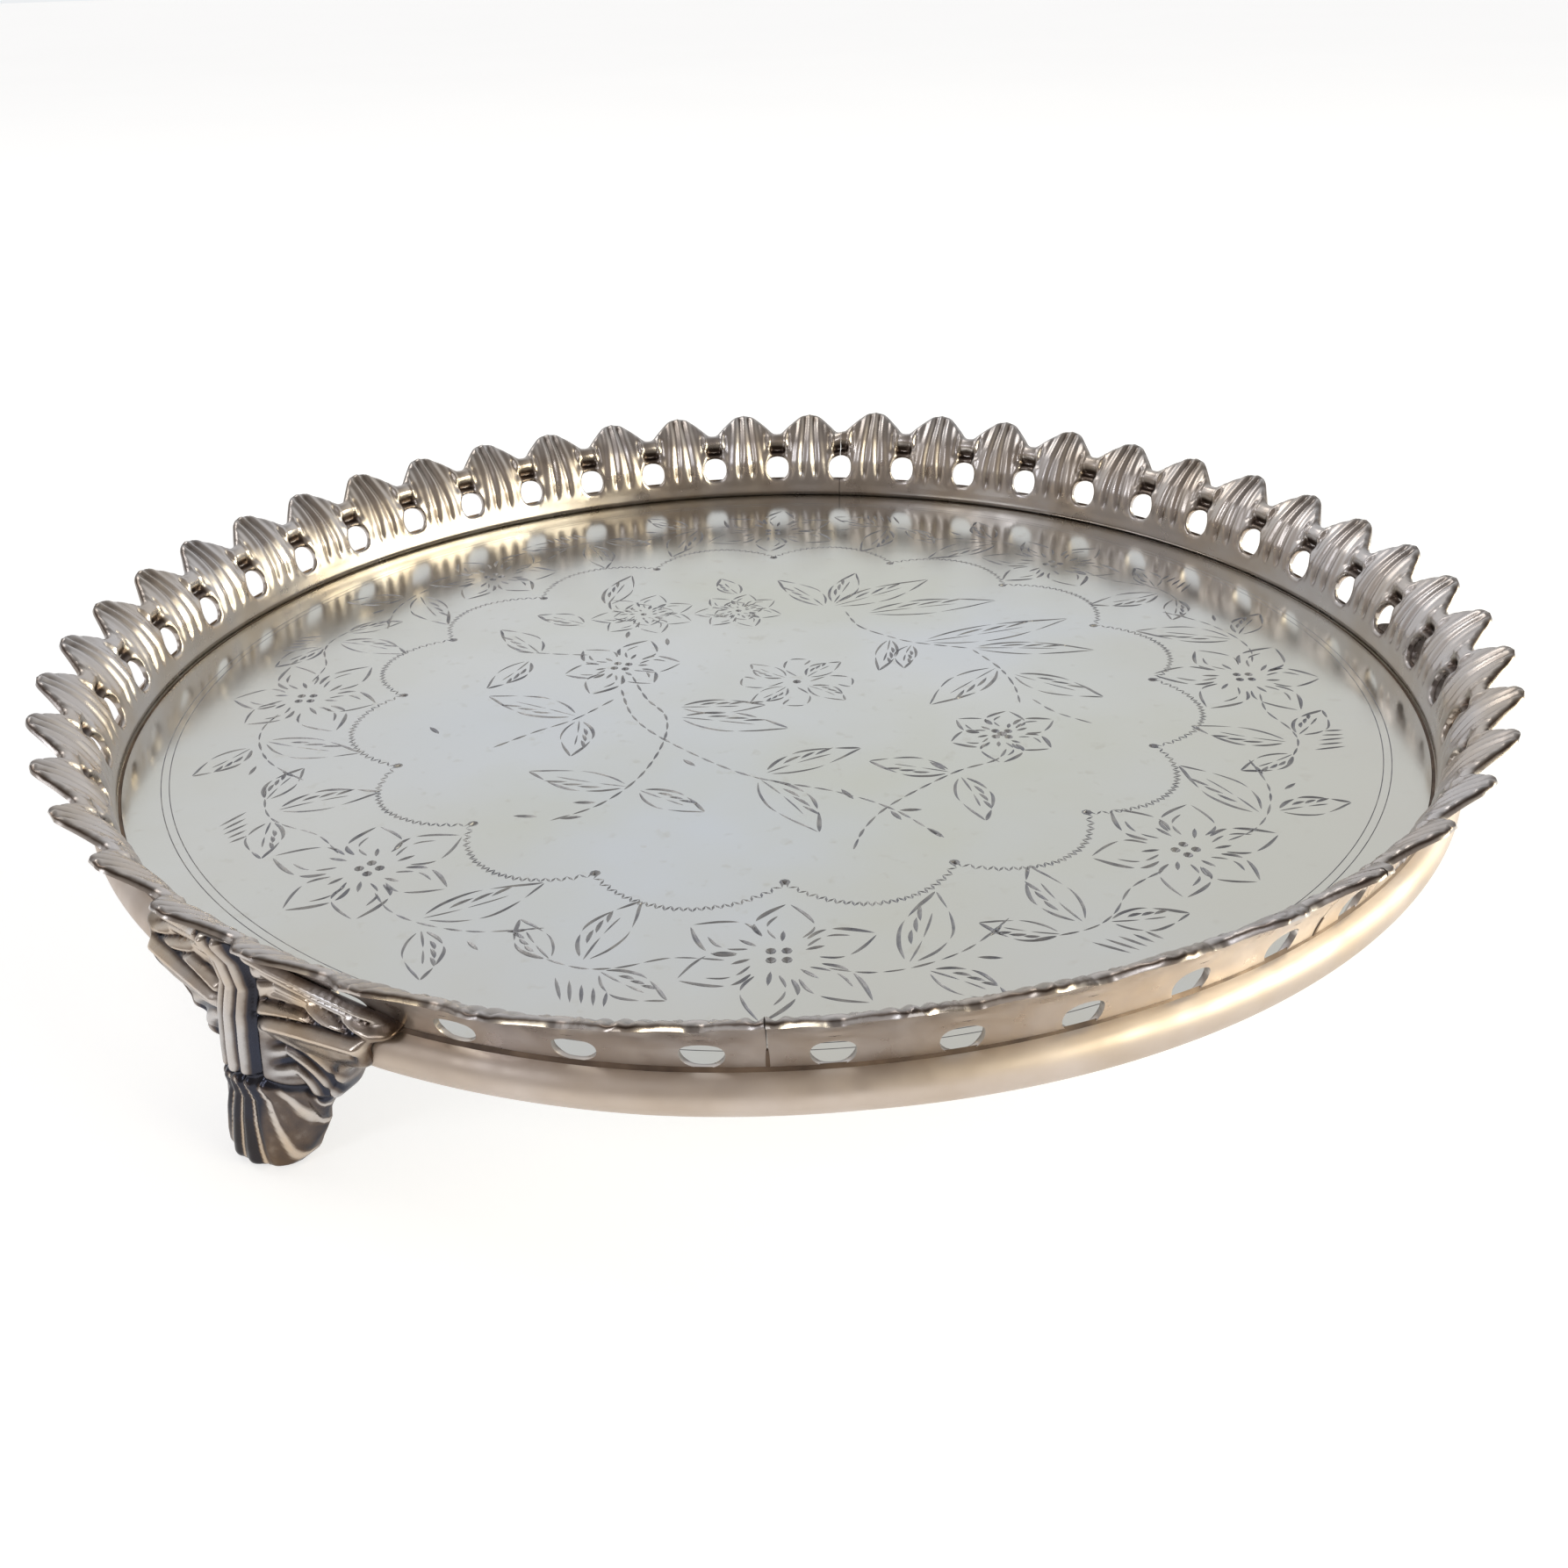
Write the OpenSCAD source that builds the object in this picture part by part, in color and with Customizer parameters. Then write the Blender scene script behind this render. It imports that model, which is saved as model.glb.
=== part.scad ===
// Round footed salver with a pierced leaf gallery, a half-round apron and three cast feet.
// Origin: on the table, under the middle of the plate. +Z up, millimetres.

/* [Plate] */
// Diameter of the flat plate that is seen inside the gallery
plate_d = 280; // [260:5:300]
// Thickness of the plate
plate_t = 1.4; // [1:0.1:2]
// Height of the plate's upper face above the table
plate_top = 28; // [28:1:34]
// Distance from the plate's edge to the engraved border circle
border_inset = 8; // [6:1:12]

/* [Gallery] */
// Number of leaves round the gallery
leaves = 47; // [47:1:47]
// Radius of the hollow curve that the gallery wall follows
flare_r = 26; // [24:0.5:28]
// Thickness of the gallery wall
wall_t = 1.1; // [0.8:0.1:1.4]
// Radius at which the leaf tips end
tip_r = 152.5; // [151:0.5:153]
// Diameter of the round piercing between two leaves
hole_d = 7.2; // [6:0.2:8]
// Height of the piercings' centres above the plate
hole_h = 8.2; // [8:0.1:9]
// Height of the notch between two leaf tips above the plate
notch_h = 17; // [16:0.2:18]

/* [Apron] */
// Radius of the half-round apron moulding
apron_r = 4; // [3.8:0.1:4.4]
// Thickness of the apron's metal
apron_t = 1.1; // [0.8:0.1:1.4]

/* [Feet] */
// Direction of the front left foot, counter-clockwise from +X
foot_azimuth = 234; // [225:1:245]
// Radius of the leg in plan
leg_r = 10; // [9:0.5:11]
// Thickness of the cast wings
wing_t = 2.2; // [1.8:0.1:2.6]
// Number of flutes on the leg
flutes = 5; // [3:2:5]

/* [Hidden] */
$fn = 180;

silver = [0.78, 0.77, 0.73];
dull_silver = [0.66, 0.62, 0.58];

seat_r = plate_d / 2;                 // inner foot of the gallery wall
plate_r = seat_r + 1.4;               // the plate runs on under the gallery
flare_x = seat_r + 0.2 + flare_r;     // centre of the wall's hollow curve
flare_out = flare_r - wall_t;         // the same curve on the outside of the wall
pitch = 360 / leaves;
leaf_zero = 1.2;                      // direction of leaf number 0

groove_w = 0.6;                       // engraved border: two fine grooves
groove_d = 0.25;
groove_gap = 1.6;

bead_r = 1.5;                         // rolled edge on the leaf tips
bead_h = 21.9;

apron_x = seat_r + 1.2;               // centre of the apron's half round
apron_z = plate_top + 0.6;
apron_inner = seat_r + 1.8;           // where its lip meets the gallery
ledge_in = seat_r - 1.2;              // flat ledge that carries the plate
ledge_out = seat_r + 2.8;
ledge_t = 1.2;

wing_span = 26;                       // degrees from wing tip to wing tip
leg_x = tip_r - 0.5 - leg_r;          // centre of the leg in plan
lug_in = 128;                         // solder lug under the plate
lug_w = 18;
lug_gap = 3.6;                        // the lug passes this far under the plate's top
lug_t = 2;
flute_r = 1.3;
flute_step = 26;                      // degrees between two flutes
hollow_r = 6;                         // the casting is hollow behind the leg

function leaf_angle(k) = leaf_zero + k * pitch;

// The back foot stands behind the middle of a leaf, so that its stem rises between piercings
back_leaf = round((foot_azimuth + 240 - leaf_zero) / pitch);

// Right half of the foot seen from outside: across, height above the plate's upper face.
// Front feet have a long leaf on the gallery wall; the back foot has only its stem there.
LEAF_HALF = [[3, 18.6], [5.5, 15.8], [9, 13.6], [15, 10.8], [22, 8.8], [28, 6.8], [30, 5]];
STEM_HALF = [[2.6, 18.6], [4.2, 16], [4.2, 3.4], [7, 2]];
LOWER_HALF = [[28.5, 2], [25, -1.5], [21.5, -4.5], [18.8, -8], [16.4, -12.5], [13.8, -15.2],
              [10.2, -17.2], [8.2, -21.5], [6.8, -25.5], [6.2, -28]];

// The leg seen from the side: radius, height above the plate's upper face
LEG_SIDE = [[143.5, 6], [147.6, 6], [149.4, 1], [150.2, -5], [150.9, -12], [151.5, -19],
            [152, -24], [151.6, -28], [142.6, -28], [142.2, -24.5], [140.8, -21], [141.2, -18],
            [139.6, -14], [138.8, -9], [139.4, -4.5], [143.5, -4.5]];

// Notch between two leaf tips, seen from outside: across, height above the plate's upper face
NOTCH_HALF = [[2, notch_h], [4.6, notch_h + 1], [6.4, notch_h + 3], [7.6, notch_h + 4.8],
              [10.2, notch_h + 6.4], [10.2, notch_h + 12]];

function mirrored(half) = concat(half, [for (i = [len(half) - 1:-1:0]) [-half[i][0], half[i][1]]]);

// ---- plate ------------------------------------------------------------------------------

module border_groove(r) {
    translate([r - groove_w / 2, plate_top - groove_d]) square([groove_w, 1]);
}

module salver_plate() {
    color(silver)
        rotate_extrude()
            difference() {
                translate([0, plate_top - plate_t]) square([plate_r, plate_t]);
                border_groove(seat_r - border_inset);
                border_groove(seat_r - border_inset - groove_gap);
            }
}

// ---- apron ------------------------------------------------------------------------------

module apron_section() {
    intersection() {
        translate([apron_x, apron_z])
            difference() {
                circle(r = apron_r);
                circle(r = apron_r - apron_t);
            }
        translate([apron_inner, apron_z - 2 * apron_r]) square([3 * apron_r, 4 * apron_r]);
    }
    translate([ledge_in, plate_top - plate_t - ledge_t]) square([ledge_out - ledge_in, ledge_t]);
}

module apron_moulding() {
    color(dull_silver) rotate_extrude() apron_section();
}

// ---- gallery ----------------------------------------------------------------------------

// A strip of the wall's hollow curve between two radii and two heights above the plate
module flare_section(r_out, r_in, low, high) {
    intersection() {
        translate([flare_x, plate_top])
            difference() {
                circle(r = r_out);
                circle(r = r_in);
            }
        translate([seat_r - 2, plate_top + low]) square([tip_r - bead_r - seat_r + 2, high - low]);
    }
}

module arc_of(from, to) {
    rotate([0, 0, from]) rotate_extrude(angle = to - from) children();
}

module piercing() {
    translate([seat_r - 5, 0, plate_top + hole_h])
        rotate([0, 90, 0]) cylinder(d = hole_d, h = 20);
}

module notch() {
    translate([seat_r, 0, plate_top])
        rotate([90, 0, 90]) linear_extrude(20) polygon(mirrored(NOTCH_HALF));
}

// Rolled edge that stiffens the leaf tips
module rim_bead() {
    translate([tip_r - bead_r, plate_top + bead_h]) circle(r = bead_r, $fn = 48);
}

// One length of gallery, from leaf number k0 to leaf number k1; a half is a piercing
module gallery_strip(k0, k1) {
    difference() {
        arc_of(leaf_angle(k0), leaf_angle(k1)) {
            flare_section(flare_r, flare_out, 0, flare_r);
            rim_bead();
        }
        for (k = [floor(k0) + 0.5:k1 + 0.1])
            rotate([0, 0, leaf_angle(k)]) {
                piercing();
                notch();
            }
    }
}

module gallery_strip_left() {
    color(dull_silver) gallery_strip(10.5, 35);
}

module gallery_strip_right() {
    color(dull_silver) gallery_strip(-7, 10.5);
}

module gallery_strip_front() {
    color(dull_silver) gallery_strip(-12, -7);
}

// ---- feet -------------------------------------------------------------------------------

// What the foot must leave free: the apron and everything inside the gallery's outer face
module foot_clearance() {
    rotate([0, 0, -20]) rotate_extrude(angle = 40) {
        translate([apron_x, apron_z]) circle(r = apron_r);
        difference() {
            translate([ledge_in, plate_top - 1]) square([tip_r - ledge_in, flare_r]);
            translate([flare_x, plate_top]) circle(r = flare_out);
        }
    }
}

module wing_section() {
    flare_section(flare_out + 0.2, flare_out - wing_t, 4, 19);
    translate([apron_x, apron_z])
        intersection() {
            difference() {
                circle(r = apron_r + wing_t);
                circle(r = apron_r - 0.2);
            }
            translate([1, -apron_r - 1]) square([3 * apron_r, 2 * apron_r + 1]);
        }
    translate([0, plate_top])
        polygon([[141.6, -3], [146, -3], [144.6, -9], [143, -18], [140.5, -18], [141, -9]]);
}

module foot_outline(upper_half) {
    translate([lug_in, 0, plate_top])
        rotate([90, 0, 90])
            linear_extrude(tip_r - lug_in) polygon(mirrored(concat(upper_half, LOWER_HALF)));
}

module leg() {
    difference() {
        intersection() {
            translate([0, leg_r, plate_top])
                rotate([90, 0, 0]) linear_extrude(2 * leg_r) polygon(LEG_SIDE);
            translate([leg_x, 0, 0]) cylinder(r = leg_r, h = plate_top + flare_r);
        }
        translate([leg_x - 2.5, 0, 3]) cylinder(r = hollow_r, h = plate_top - 9);
        for (i = [0:flutes - 1])
            rotate_about_leg((i - (flutes - 1) / 2) * flute_step)
                cylinder(r = flute_r, h = plate_top - 7);
    }
}

module rotate_about_leg(a) {
    translate([leg_x, 0, 2]) rotate([0, 0, a]) translate([leg_r + 0.6, 0, 0]) children();
}

module solder_lug() {
    translate([lug_in, -lug_w / 2, plate_top - lug_gap - lug_t])
        cube([apron_x - lug_in, lug_w, lug_t]);
    translate([lug_in, -lug_w / 2, plate_top - lug_gap - lug_t])
        cube([ledge_in - 0.1 - lug_in, lug_w, lug_t + lug_gap - plate_t]);
}

module foot(azimuth, upper_half) {
    color(dull_silver)
        rotate([0, 0, azimuth])
            difference() {
                union() {
                    intersection() {
                        arc_of(-wing_span / 2, wing_span / 2) wing_section();
                        foot_outline(upper_half);
                    }
                    intersection() {
                        leg();
                        foot_outline(upper_half);
                    }
                    solder_lug();
                }
                foot_clearance();
            }
}

module foot_front_left() {
    foot(foot_azimuth, LEAF_HALF);
}

module foot_right() {
    foot(foot_azimuth + 120, LEAF_HALF);
}

module foot_back() {
    foot(leaf_angle(back_leaf), STEM_HALF);
}

salver_plate();
apron_moulding();
gallery_strip_left();
gallery_strip_right();
gallery_strip_front();
foot_front_left();
foot_right();
foot_back();
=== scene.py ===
import math
import random

import bpy
from mathutils import Matrix, Vector
from mathutils.geometry import delaunay_2d_cdt


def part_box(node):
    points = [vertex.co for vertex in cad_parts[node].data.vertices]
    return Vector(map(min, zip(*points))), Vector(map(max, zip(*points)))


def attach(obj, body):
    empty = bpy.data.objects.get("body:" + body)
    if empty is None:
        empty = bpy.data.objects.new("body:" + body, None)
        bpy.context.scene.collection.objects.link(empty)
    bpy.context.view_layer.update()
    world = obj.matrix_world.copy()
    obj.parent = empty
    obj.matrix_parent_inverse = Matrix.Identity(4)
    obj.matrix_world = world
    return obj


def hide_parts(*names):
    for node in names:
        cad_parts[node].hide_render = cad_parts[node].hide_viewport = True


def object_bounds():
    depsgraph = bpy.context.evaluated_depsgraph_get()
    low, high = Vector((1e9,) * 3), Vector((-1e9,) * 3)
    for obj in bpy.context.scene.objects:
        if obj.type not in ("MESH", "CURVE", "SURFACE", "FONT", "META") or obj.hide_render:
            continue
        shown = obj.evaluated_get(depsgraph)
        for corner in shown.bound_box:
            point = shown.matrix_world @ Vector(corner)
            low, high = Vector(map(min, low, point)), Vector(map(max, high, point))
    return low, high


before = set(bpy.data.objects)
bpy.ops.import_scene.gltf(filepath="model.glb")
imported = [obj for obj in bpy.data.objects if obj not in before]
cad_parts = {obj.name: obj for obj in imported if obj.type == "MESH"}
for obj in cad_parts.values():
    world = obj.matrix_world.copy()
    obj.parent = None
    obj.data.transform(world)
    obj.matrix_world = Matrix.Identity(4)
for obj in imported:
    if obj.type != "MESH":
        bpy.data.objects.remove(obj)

# A round footed salver. Lengths are in millimetres until a mesh is made; heights called
# "above the plate" start at the plate's upper face. Places come from the CAD frame.

MM = 0.001
CAD_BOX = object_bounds()
EDGE_GAP = 0.06                         # the visual leaf tips stay this far inside the CAD box
random.seed(12)

# ---- sizes taken from the frame ---------------------------------------------------------

plate_low, plate_high = (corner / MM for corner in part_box("salver_plate"))
apron_low, apron_high = (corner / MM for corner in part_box("apron_moulding"))
PLATE_TOP = plate_high.z
PLATE_BOTTOM = plate_low.z
PLATE_R = plate_high.x
SEAT_R = PLATE_R - 1.4                  # inner foot of the gallery wall
TIP_R = CAD_BOX[1].x / MM

# the gallery wall follows a hollow curve about this circle
FLARE_R = 26.0
WALL = 1.1
FLARE_X = SEAT_R + 0.2 + FLARE_R
LEAVES = 47
PITCH = 360 / LEAVES
LEAF_ZERO = 1.2

# the apron's half round
APRON_X = SEAT_R + 1.2
APRON_R = apron_high.x - APRON_X
APRON_Z = 0.6                           # above the plate
BACK_LEAF = 15                          # the back foot stands behind this leaf
GALLERY_FOOT = 3                        # the wall's lowest 3 mm wasn't bent by the knocks
FOOT_AZIMUTHS = {"foot_front_left": 234, "foot_right": 354,
                 "foot_back": LEAF_ZERO + BACK_LEAF * PITCH}

# The gallery has been knocked: how high it stands, by azimuth, and how far the apron was
# soldered above or below its place.
STANDING = [(0, 1.0), (40, 1.0), (70, 1.05), (81.5, 1.055), (82.5, 1.0), (200, 1.0),
            (222, 0.92), (240, 0.84), (256, 0.83), (268, 0.93), (282, 1.0), (296, 1.05),
            (307, 1.05), (325, 1.02), (350, 1.0), (360, 1.0)]
APRON_SHIFT = [(0, 0.0), (220, 0.0), (245, -0.9), (262, -0.7), (275, 0.0), (292, 0.9),
               (312, 0.9), (340, 0.0), (360, 0.0)]


TRIANGLES_INSIDE = 1                    # output mode of the triangulation

# ---- small helpers ----------------------------------------------------------------------

def smooth(x, low, high):
    """0 below low, 1 above high, eased between."""
    f = min(max((x - low) / (high - low), 0.0), 1.0)
    return f * f * (3 - 2 * f)


def settled(h, azimuth):
    """Height above the plate of a point of the knocked gallery."""
    if h < GALLERY_FOOT:
        return h
    highest = CAD_BOX[1].z / MM - PLATE_TOP - 0.05
    return min(GALLERY_FOOT + (h - GALLERY_FOOT) * along(azimuth % 360, STANDING), highest)


def bell(x, width):
    """1 at x = 0, falling off to both sides."""
    return math.exp(-(x / width) ** 2)


def along(x, table):
    """Straight-line reading of a short table of (x, value), held at its ends."""
    if x <= table[0][0]:
        return table[0][1]
    for (x0, y0), (x1, y1) in zip(table, table[1:]):
        if x <= x1:
            return y0 + (y1 - y0) * (x - x0) / (x1 - x0)
    return table[-1][1]


def spline(points, steps):
    """Catmull-Rom curve through an open line of points."""
    last = len(points) - 1
    out = []
    for i in range(last):
        quad = [points[min(max(i + k, 0), last)] for k in (-1, 0, 1, 2)]
        for step in range(steps):
            t = step / steps
            out.append(tuple(
                0.5 * (2 * b + (c - a) * t + (2 * a - 5 * b + 4 * c - d) * t * t
                       + (3 * b - a - 3 * c + d) * t ** 3)
                for a, b, c, d in zip(*quad)))
    out.append(tuple(points[-1]))
    return out


def resample(points, step, closed=True):
    """The same line with points about step apart; every given point stays."""
    out = []
    ends = points[1:] + points[:1] if closed else points[1:]
    for (x0, y0), (x1, y1) in zip(points, ends):
        parts = max(1, round(math.hypot(x1 - x0, y1 - y0) / step))
        out += [(x0 + (x1 - x0) * i / parts, y0 + (y1 - y0) * i / parts) for i in range(parts)]
    return out if closed else out + [points[-1]]


def distance_to(point, line):
    """Distance from a point to an open line of points."""
    px, py = point
    best = 1e9
    for (x0, y0), (x1, y1) in zip(line, line[1:]):
        dx, dy = x1 - x0, y1 - y0
        f = ((px - x0) * dx + (py - y0) * dy) / (dx * dx + dy * dy + 1e-12)
        f = min(max(f, 0.0), 1.0)
        best = min(best, math.hypot(x0 + f * dx - px, y0 + f * dy - py))
    return best


def inside(point, outline):
    """Whether a point lies within a closed outline."""
    x, y = point
    odd = False
    for (x0, y0), (x1, y1) in zip(outline, outline[1:] + outline[:1]):
        if (y0 > y) != (y1 > y) and x < x0 + (x1 - x0) * (y - y0) / (y1 - y0):
            odd = not odd
    return odd


def fill_outline(outline, across, up):
    """Triangles over an outline, with a staggered grid of points inside it."""
    points = list(outline)
    ring = outline + outline[:1]
    clear = 0.45 * min(across, up)      # grid points keep this far from the outline
    low_x, high_x = min(p[0] for p in outline), max(p[0] for p in outline)
    low_y, high_y = min(p[1] for p in outline), max(p[1] for p in outline)
    for row in range(1, int((high_y - low_y) / up) + 1):
        y = low_y + row * up
        for column in range(int((high_x - low_x) / across) + 1):
            x = low_x + (column + 0.5 * (row % 2)) * across
            if inside((x, y), outline) and distance_to((x, y), ring) > clear:
                points.append((x, y))
    count = len(outline)
    edges = [(i, (i + 1) % count) for i in range(count)]
    found = delaunay_2d_cdt([Vector(p) for p in points], edges, [list(range(count))],
                            TRIANGLES_INSIDE, 1e-6)
    return [tuple(p) for p in found[0]], [tuple(f) for f in found[2]]


def make_piece(name, points, faces, materials, replaces,
               face_material=None, relief=None, sharp=None):
    """A mesh from millimetre points. sharp is the angle over which edges stay crisp."""
    mesh = bpy.data.meshes.new(name)
    mesh.from_pydata([(x * MM, y * MM, z * MM) for x, y, z in points], [], faces)
    for material in materials:
        mesh.materials.append(material)
    if face_material:
        mesh.polygons.foreach_set("material_index", face_material)
    if relief:
        layer = mesh.attributes.new("relief", "FLOAT", "POINT")
        layer.data.foreach_set("value", relief)
    if sharp is None:
        mesh.shade_flat()
    else:
        mesh.shade_smooth()
        mesh.set_sharp_from_angle(angle=math.radians(sharp))
    mesh.validate()
    piece = bpy.data.objects.new(name, mesh)
    bpy.context.scene.collection.objects.link(piece)
    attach(piece, "root")
    if replaces:
        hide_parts(replaces)


def close_sheets(front, back, triangles):
    """A solid from a front sheet, a back sheet with the same triangles, and a rim."""
    offset = len(front)
    faces = list(triangles) + [tuple(offset + i for i in reversed(f)) for f in triangles]
    edges = dict.fromkeys(edge for f in triangles for edge in zip(f, f[1:] + f[:1]))
    faces += [(b, a, offset + a, offset + b) for a, b in edges if (b, a) not in edges]
    return front + back, faces


# ---- materials --------------------------------------------------------------------------

# sockets of the colour mix node
MIX_FACTOR, MIX_A, MIX_B, MIX_RESULT = 0, 6, 7, 2


def new_material(name):
    """A node material with its tree and its shader."""
    material = bpy.data.materials.new(name)
    material.use_nodes = True
    tree = material.node_tree
    return material, tree, tree.nodes["Principled BSDF"]


def noise(tree, scale, detail=3.0, stretch=(1, 1, 1), turn=0.0):
    """Noise in the piece's own space, stretched and turned about Z."""
    coordinates = tree.nodes.new("ShaderNodeTexCoord")
    mapping = tree.nodes.new("ShaderNodeMapping")
    mapping.inputs["Scale"].default_value = stretch
    mapping.inputs["Rotation"].default_value = (0, 0, turn)
    texture = tree.nodes.new("ShaderNodeTexNoise")
    texture.inputs["Scale"].default_value = scale
    texture.inputs["Detail"].default_value = detail
    tree.links.new(coordinates.outputs["Object"], mapping.inputs["Vector"])
    tree.links.new(mapping.outputs["Vector"], texture.inputs["Vector"])
    return texture.outputs["Fac"]


def ramp(tree, source, stops):
    """Colour ramp with stops (place, colour)."""
    node = tree.nodes.new("ShaderNodeValToRGB")
    tree.links.new(source, node.inputs["Fac"])
    elements = node.color_ramp.elements
    while len(elements) < len(stops):
        elements.new(0.5)
    for element, (place, color) in zip(elements, stops):
        element.position = place
        element.color = (*color, 1)
    return node.outputs["Color"]


def grey(value):
    return (value, value, value)


def mix(tree, factor, first, second, how="MIX"):
    """Mixes two colours; each input is a number, a colour or a socket."""
    node = tree.nodes.new("ShaderNodeMix")
    node.data_type = "RGBA"
    node.blend_type = how
    for source, socket in ((factor, MIX_FACTOR), (first, MIX_A), (second, MIX_B)):
        if isinstance(source, (int, float)):
            node.inputs[socket].default_value = source
        elif isinstance(source, tuple):
            node.inputs[socket].default_value = (*source, 1)
        else:
            tree.links.new(source, node.inputs[socket])
    return node.outputs[MIX_RESULT]


def roughness(tree, shader, source, low, high):
    """Lets a noise run the roughness from low to high."""
    tree.links.new(ramp(tree, source, [(0.3, grey(low)), (0.7, grey(high))]),
                   shader.inputs["Roughness"])


def bump(tree, shader, layers):
    """Stacks bump layers: (height source, distance in mm, strength)."""
    last = None
    for source, distance, strength in layers:
        node = tree.nodes.new("ShaderNodeBump")
        node.inputs["Distance"].default_value = distance * MM
        node.inputs["Strength"].default_value = strength
        tree.links.new(source, node.inputs["Height"])
        if last:
            tree.links.new(last, node.inputs["Normal"])
        last = node.outputs["Normal"]
    tree.links.new(last, shader.inputs["Normal"])


def plate_metal():
    """Bright sheet: hand polished, hairline scratches, yellow tarnish in clouds."""
    material, tree, shader = new_material("plate_silver")
    shader.inputs["Metallic"].default_value = 1.0
    clouds = ramp(tree, noise(tree, 14, 4), [(0.40, grey(0)), (0.66, grey(1))])
    clean = mix(tree, ramp(tree, noise(tree, 9, 2, turn=0.7), [(0.38, grey(0)), (0.62, grey(1))]),
                (0.665, 0.665, 0.65), (0.63, 0.645, 0.665))
    color = mix(tree, clouds, clean, (0.61, 0.605, 0.54))
    spots = ramp(tree, noise(tree, 260, 6), [(0.62, grey(0)), (0.74, grey(1))])
    color = mix(tree, mix(tree, spots, grey(0.0), grey(0.35)), color, (0.48, 0.45, 0.38))
    # tarnish grows from the middle of the plate towards its edge, distances in metres
    coordinates = tree.nodes.new("ShaderNodeTexCoord")
    reach = tree.nodes.new("ShaderNodeVectorMath")
    reach.operation = "LENGTH"
    tree.links.new(coordinates.outputs["Object"], reach.inputs[0])
    outer = tree.nodes.new("ShaderNodeMapRange")
    outer.inputs["From Min"].default_value = 0.070
    outer.inputs["From Max"].default_value = 0.135
    tree.links.new(reach.outputs["Value"], outer.inputs["Value"])
    patches = ramp(tree, noise(tree, 22, 5), [(0.30, grey(0.25)), (0.65, grey(0.9))])
    tarnish = mix(tree, 1.0, outer.outputs["Result"], patches, "MULTIPLY")
    color = mix(tree, tarnish, color, (0.61, 0.585, 0.53))
    tree.links.new(color, shader.inputs["Base Color"])
    roughness(tree, shader, noise(tree, 40, 5), 0.13, 0.20)
    bump(tree, shader, [
        (noise(tree, 16, 1), 0.9, 0.10),
        (noise(tree, 900, 2, (1, 0.03, 1), 0.5), 0.02, 0.25),
        (noise(tree, 900, 2, (0.03, 1, 1), -0.3), 0.02, 0.25),
    ])
    return material


def groove_metal():
    """Cut metal inside the engraving, darkened by polish and oxide."""
    material, tree, shader = new_material("engraved_cut")
    shader.inputs["Metallic"].default_value = 1.0
    color = ramp(tree, noise(tree, 300, 3),
                 [(0.35, (0.22, 0.22, 0.24)), (0.7, (0.38, 0.37, 0.36))])
    tree.links.new(color, shader.inputs["Base Color"])
    roughness(tree, shader, noise(tree, 500, 2), 0.4, 0.6)
    return material


def seam_metal():
    """Black-brown dirt and old solder in the seams."""
    material, tree, shader = new_material("seam_tarnish")
    shader.inputs["Metallic"].default_value = 0.6
    color = ramp(tree, noise(tree, 120, 4),
                 [(0.3, (0.065, 0.045, 0.036)), (0.75, (0.22, 0.155, 0.11))])
    tree.links.new(color, shader.inputs["Base Color"])
    roughness(tree, shader, noise(tree, 300, 2), 0.35, 0.6)
    return material


def worn_metal(name, bright, warm, dark, low, high, rough, waviness):
    """Relief metal: oxide in the hollows (relief low), polish on the high places.

    rough is the lowest and highest roughness; waviness is the strength of the slow bump.
    """
    material, tree, shader = new_material(name)
    shader.inputs["Metallic"].default_value = 1.0
    patch = ramp(tree, noise(tree, 55, 4), [(0.38, grey(0)), (0.64, grey(1))])
    body = mix(tree, patch, bright, warm)
    attribute = tree.nodes.new("ShaderNodeAttribute")
    attribute.attribute_name = "relief"
    shade = tree.nodes.new("ShaderNodeMapRange")
    shade.inputs["From Min"].default_value = low
    shade.inputs["From Max"].default_value = high
    tree.links.new(attribute.outputs["Fac"], shade.inputs["Value"])
    stain = mix(tree, 0.22, shade.outputs["Result"], noise(tree, 420, 4))
    brown = tuple(0.7 * a + 0.3 * b for a, b in zip(dark, warm))
    depth = ramp(tree, stain, [(0.16, dark), (0.36, brown), (0.60, grey(0.82)), (0.85, grey(1))])
    color = mix(tree, 1.0, body, depth, "MULTIPLY")
    tree.links.new(color, shader.inputs["Base Color"])
    roughness(tree, shader, noise(tree, 150, 4), *rough)
    bump(tree, shader, [
        (noise(tree, 60, 2), 0.9, waviness),
        (noise(tree, 1400, 3), 0.05, 0.12),
    ])
    return material


def floor_paint():
    """White paint that also glows a little, so that the floor stays pale."""
    material, tree, shader = new_material("studio_floor")
    color = ramp(tree, noise(tree, 3, 2), [(0.3, grey(0.50)), (0.7, grey(0.52))])
    tree.links.new(color, shader.inputs["Base Color"])
    shader.inputs["Roughness"].default_value = 0.9
    shader.inputs["Emission Color"].default_value = (1, 1, 1, 1)
    shader.inputs["Emission Strength"].default_value = 0.68
    return material


PLATE_METAL = plate_metal()
GROOVE_METAL = groove_metal()
SEAM_METAL = seam_metal()
# the gallery's warm brown tint is partly its own tarnish and partly a painted reflection of a warm
# brown surround
GALLERY_METAL = worn_metal("gallery_silver", (0.56, 0.525, 0.515), (0.52, 0.455, 0.40),
                           (0.13, 0.105, 0.095), -0.75, 0.8, (0.24, 0.40), 0.2)
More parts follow.
